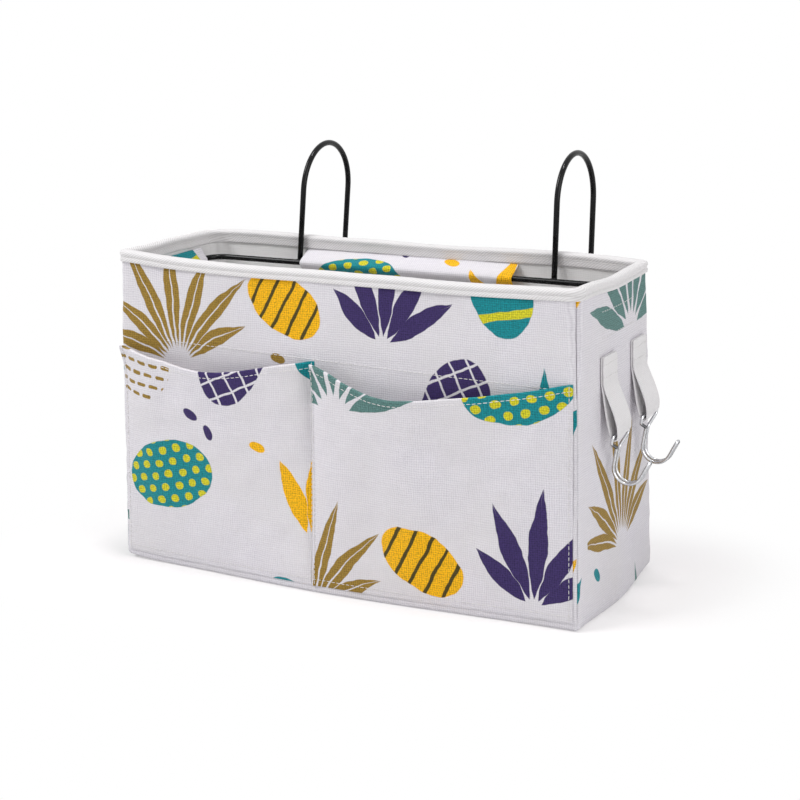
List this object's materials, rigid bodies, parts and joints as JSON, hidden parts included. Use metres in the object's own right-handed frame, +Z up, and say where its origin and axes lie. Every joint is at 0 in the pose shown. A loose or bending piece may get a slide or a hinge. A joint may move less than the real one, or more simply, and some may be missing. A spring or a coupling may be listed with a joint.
{
  "type": "crib organizer",
  "caption": "Stiffened cloth bag with front pockets, hung from a rail by wire U hooks on a frame under its rim, with swivelling wire hooks on tape loops at one end.",
  "frame": {"origin": "centre of the flat bottom face of the bag", "axes": "+Z up, -Y towards the front with its pockets, +Y towards the rail that the bag hangs on, +X towards the side with the two small hooks"},
  "size_m": [0.3247, 0.1749, 0.2455],
  "materials": {
    "printed_cloth": "plain weave, printed in teal, olive, mustard, purple and slate",
    "fibre_board": "pressed, uncoated, hidden between cloth and lining",
    "lining_cloth": "plain weave",
    "twill_tape": "twill weave, folded over the rim",
    "loop_tape": "plain cotton tape",
    "black_wire": "semi-gloss black powder coat",
    "chromed_wire": "bright"
  },
  "bodies": {
    "bag": {"outer_front": "printed_cloth", "outer_back": "printed_cloth", "outer_left": "printed_cloth", "outer_right": "printed_cloth", "outer_bottom": "printed_cloth", "board_front": "fibre_board", "board_back": "fibre_board", "board_left": "fibre_board", "board_right": "fibre_board", "board_bottom": "fibre_board", "lining_front": "lining_cloth", "lining_back": "lining_cloth", "lining_left": "lining_cloth", "lining_right": "lining_cloth", "lining_bottom": "lining_cloth", "rim_binding": "twill_tape", "pocket_left": "printed_cloth", "pocket_right": "printed_cloth", "frame_ring": "black_wire", "rail_hook_left": "black_wire", "rail_hook_right": "black_wire", "flap_back": "printed_cloth", "flap_left": "printed_cloth", "flap_right": "printed_cloth", "loop_tab_front": "loop_tape", "loop_tab_rear": "loop_tape"},
    "front_loop": {"tape_loop_front": "loop_tape"},
    "front_hook": {"side_hook_front": "chromed_wire"},
    "rear_loop": {"tape_loop_rear": "loop_tape"},
    "rear_hook": {"side_hook_rear": "chromed_wire"}
  },
  "joints": [
    {"name": "front_loop_swing", "type": "hinge", "parent": "bag", "child": "front_loop", "pos_m": [0.15063, -0.013, 0.131], "axis": [0, -1, 0], "range_deg": [-2, 70]},
    {"name": "front_hook_swing", "type": "hinge", "parent": "front_loop", "child": "front_hook", "pos_m": [0.15667, -0.013, 0.10363], "axis": [0, -1, 0], "range_deg": [-3, 80]},
    {"name": "rear_loop_swing", "type": "hinge", "parent": "bag", "child": "rear_loop", "pos_m": [0.15063, 0.033, 0.131], "axis": [0, -1, 0], "range_deg": [-2, 70]},
    {"name": "rear_hook_swing", "type": "hinge", "parent": "rear_loop", "child": "rear_hook", "pos_m": [0.15667, 0.033, 0.10363], "axis": [0, -1, 0], "range_deg": [-3, 80]}
  ]
}
